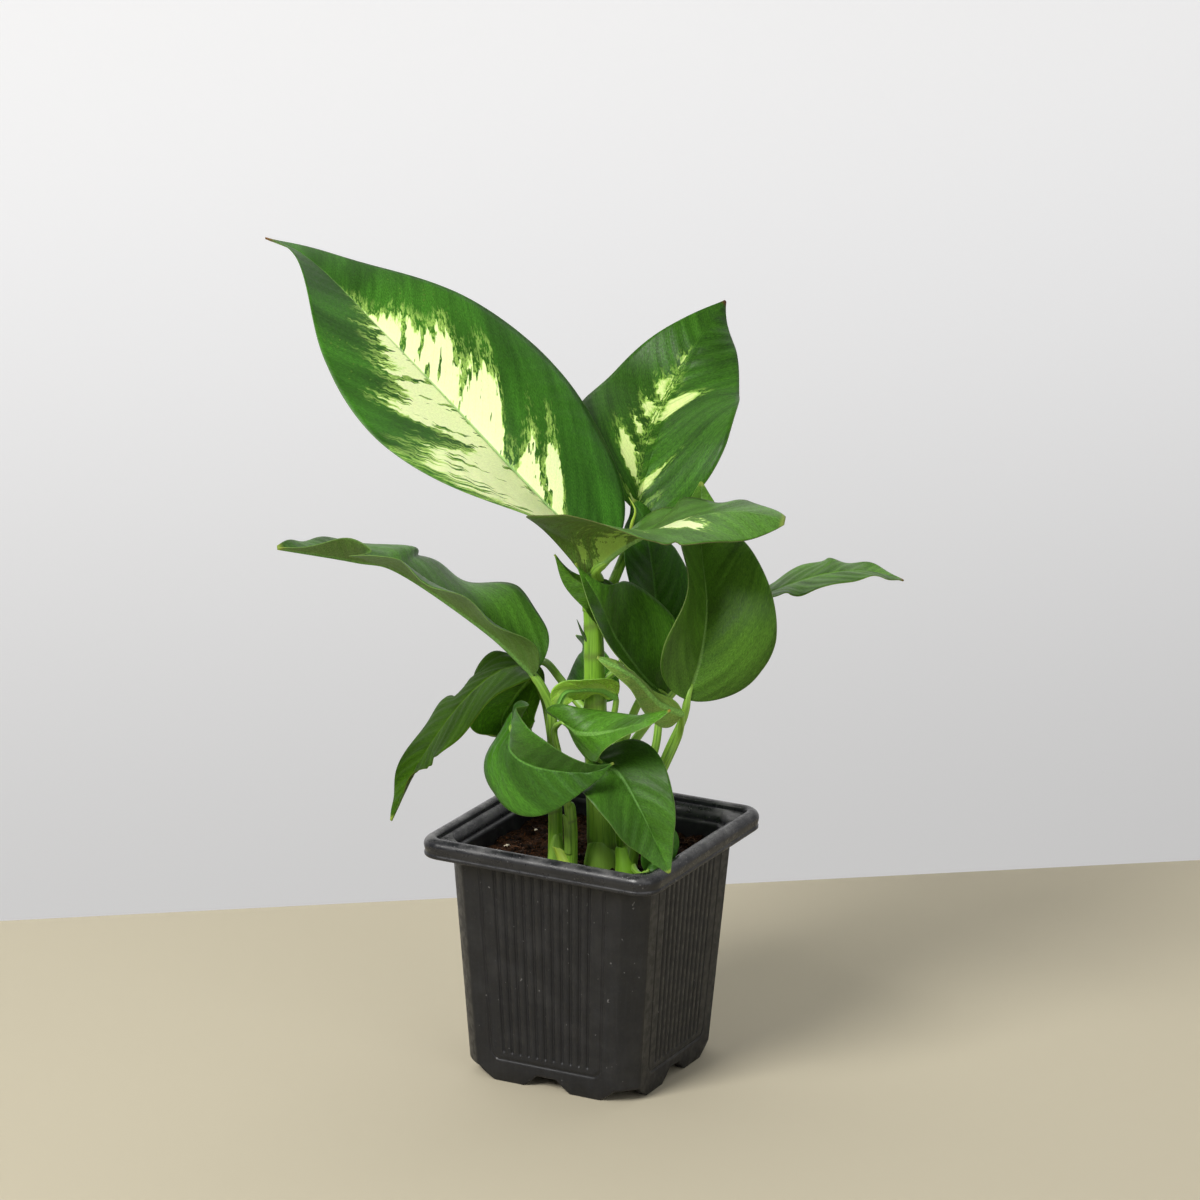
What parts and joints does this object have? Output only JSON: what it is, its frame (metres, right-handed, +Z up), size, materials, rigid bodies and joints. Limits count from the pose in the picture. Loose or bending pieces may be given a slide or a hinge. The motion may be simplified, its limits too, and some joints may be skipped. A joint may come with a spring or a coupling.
{
  "type": "potted dieffenbachia",
  "caption": "Young dieffenbachia with broad variegated leaves on short stems, standing in a square black nursery pot of peat.",
  "frame": {"origin": "on the plane of the pot's feet, below the middle of the whole part's box", "axes": "+Z up, -Y towards the pot's front face, +X to the right of that face"},
  "size_m": [0.2433, 0.1761, 0.3168],
  "materials": {
    "pot": "near-black moulded polypropylene, dusty and scuffed at the rim",
    "soil": "crumbly brown peat with reddish fibres and white perlite grains",
    "stem": "smooth fleshy green stem with leaf-scar rings and papery sheaths",
    "leaf": "satin dark green leaf with a pale midrib, fine side veins and cream variegation",
    "young_leaf": "satin olive-green young leaf, still rolled at its edges"
  },
  "bodies": {
    "root": {"pot": "pot", "soil": "soil", "cane_main": "stem", "stem_left": "stem", "stem_front": "stem", "stem_right": "stem", "stem_back": "stem", "leaf_top_left": "leaf", "leaf_top_right": "leaf", "leaf_front_arching": "leaf", "leaf_left_wavy": "leaf", "leaf_left_drooping": "leaf", "leaf_left_shaded": "leaf", "leaf_front_cupped": "leaf", "leaf_front_drooping": "leaf", "leaf_front_small": "leaf", "leaf_young_curled": "young_leaf", "leaf_right_upright": "leaf", "leaf_centre_dark": "leaf", "leaf_centre_folded": "leaf", "leaf_young_right": "young_leaf", "leaf_back_upright": "leaf", "leaf_far_right": "leaf", "leaf_back_small": "leaf", "leaf_basal": "leaf"}
  },
  "joints": []
}
